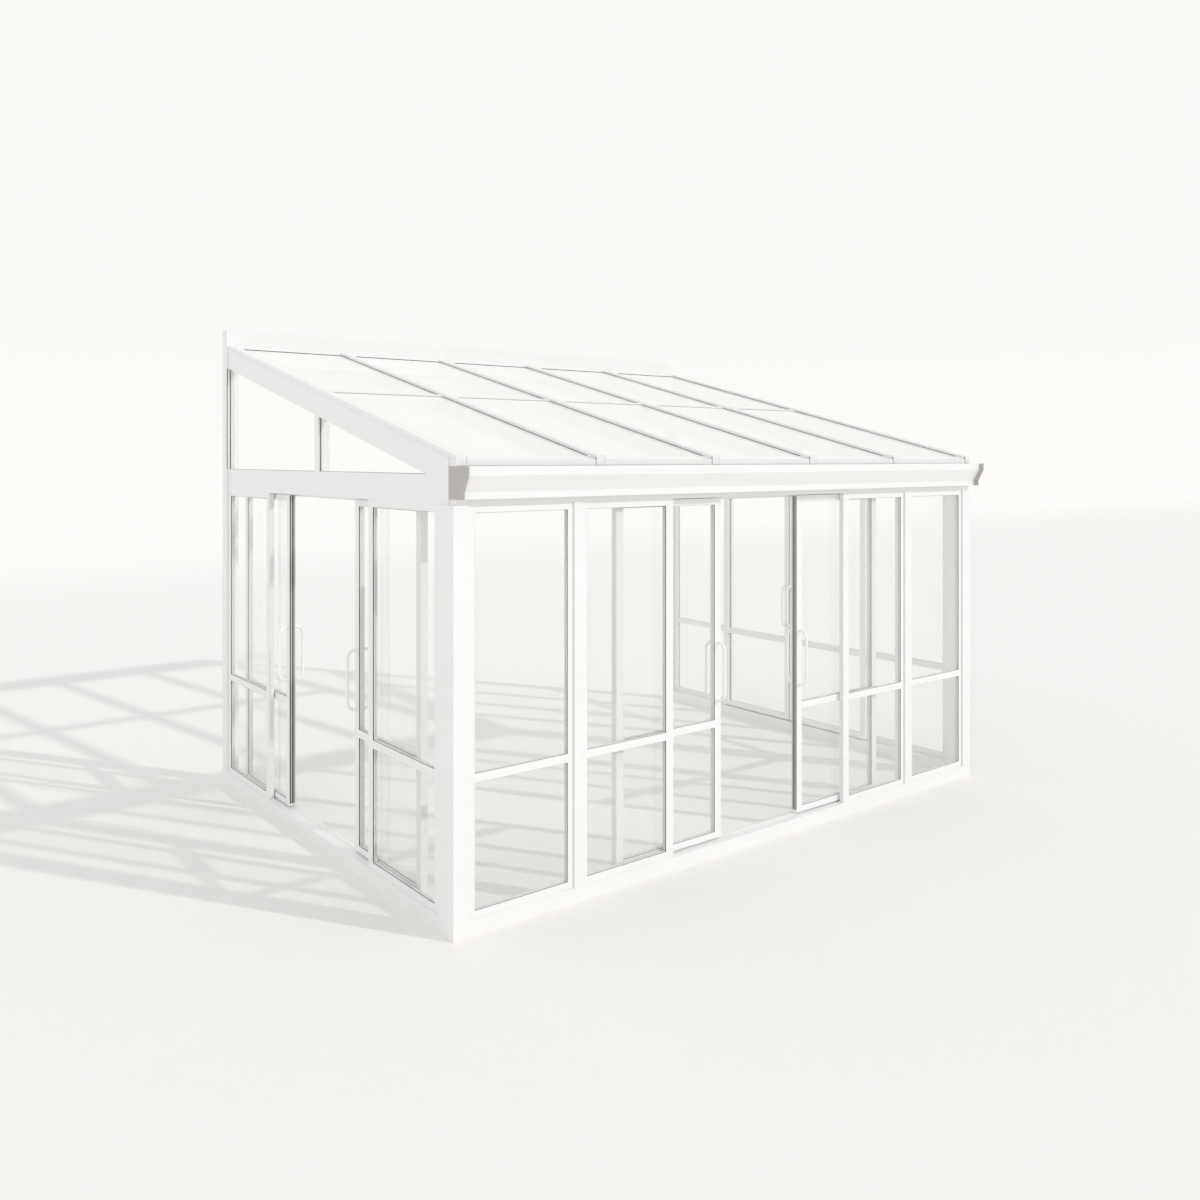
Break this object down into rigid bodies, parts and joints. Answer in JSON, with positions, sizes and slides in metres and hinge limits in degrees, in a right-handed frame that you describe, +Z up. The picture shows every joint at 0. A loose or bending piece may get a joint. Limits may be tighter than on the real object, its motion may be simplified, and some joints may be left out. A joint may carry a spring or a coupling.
{
  "type": "lean-to conservatory",
  "caption": "Lean-to conservatory with a glazed sloping roof, full-height glazed walls, sliding doors in its front and both gables, and a gutter along the eaves.",
  "frame": {"origin": "on the ground, under the middle of the whole building with its gutter", "axes": "+X to the right along the front as seen from outside, +Y from the front to the house wall, +Z up"},
  "size_m": [4.3956, 3.4, 3.2504],
  "materials": {
    "white_aluminium": "white powder coat, satin",
    "white_handle": "white powder coat, gloss",
    "clear_glass": "clear float glass",
    "grey_end_plate": "moulded, matt"
  },
  "bodies": {
    "conservatory": {"eaves_beam": "white_aluminium", "front_fixed_frames": "white_aluminium", "front_fixed_glass": "clear_glass", "front_head_guide": "white_aluminium", "front_left_post": "white_aluminium", "front_mullions": "white_aluminium", "front_right_post": "white_aluminium", "front_sill": "white_aluminium", "front_window_frames": "white_aluminium", "front_window_glass": "clear_glass", "glass_stops": "clear_glass", "glazing_caps": "white_aluminium", "gutter": "white_aluminium", "gutter_end_plates": "grey_end_plate", "left_fixed_frames": "white_aluminium", "left_fixed_glass": "clear_glass", "left_gable_glass": "clear_glass", "left_gable_mullion": "white_aluminium", "left_head_guide": "white_aluminium", "left_rake": "white_aluminium", "left_sill": "white_aluminium", "left_transom": "white_aluminium", "purlin_caps": "white_aluminium", "purlins": "white_aluminium", "rafters": "white_aluminium", "rear_left_post": "white_aluminium", "rear_right_post": "white_aluminium", "right_fixed_frames": "white_aluminium", "right_fixed_glass": "clear_glass", "right_gable_glass": "clear_glass", "right_gable_mullion": "white_aluminium", "right_head_guide": "white_aluminium", "right_rake": "white_aluminium", "right_sill": "white_aluminium", "right_transom": "white_aluminium", "roof_glass": "clear_glass", "wall_flashing": "white_aluminium", "wall_plate": "white_aluminium"},
    "front_left_door": {"front_left_door_frame": "white_aluminium", "front_left_door_glass": "clear_glass", "front_left_door_handles": "white_handle"},
    "front_right_door": {"front_right_door_frame": "white_aluminium", "front_right_door_glass": "clear_glass", "front_right_door_handles": "white_handle"},
    "left_near_door": {"left_near_door_frame": "white_aluminium", "left_near_door_glass": "clear_glass", "left_near_door_handles": "white_handle"},
    "left_far_door": {"left_far_door_frame": "white_aluminium", "left_far_door_glass": "clear_glass", "left_far_door_handles": "white_handle"},
    "right_near_door": {"right_near_door_frame": "white_aluminium", "right_near_door_glass": "clear_glass", "right_near_door_handles": "white_handle"},
    "right_far_door": {"right_far_door_frame": "white_aluminium", "right_far_door_glass": "clear_glass", "right_far_door_handles": "white_handle"}
  },
  "joints": [
    {"name": "front_left_slide", "type": "slide", "parent": "conservatory", "child": "front_left_door", "axis": [-1, 0, 0], "range_m": [-0.332, 0.257]},
    {"name": "front_right_slide", "type": "slide", "parent": "conservatory", "child": "front_right_door", "axis": [1, 0, 0], "range_m": [-0.332, 0.257]},
    {"name": "left_near_slide", "type": "slide", "parent": "conservatory", "child": "left_near_door", "axis": [0, -1, 0], "range_m": [-0.48, 0.205]},
    {"name": "left_far_slide", "type": "slide", "parent": "conservatory", "child": "left_far_door", "axis": [0, 1, 0], "range_m": [-0.48, 0.205]},
    {"name": "right_near_slide", "type": "slide", "parent": "conservatory", "child": "right_near_door", "axis": [0, -1, 0], "range_m": [0, 0.685]},
    {"name": "right_far_slide", "type": "slide", "parent": "conservatory", "child": "right_far_door", "axis": [0, 1, 0], "range_m": [0, 0.685]}
  ]
}
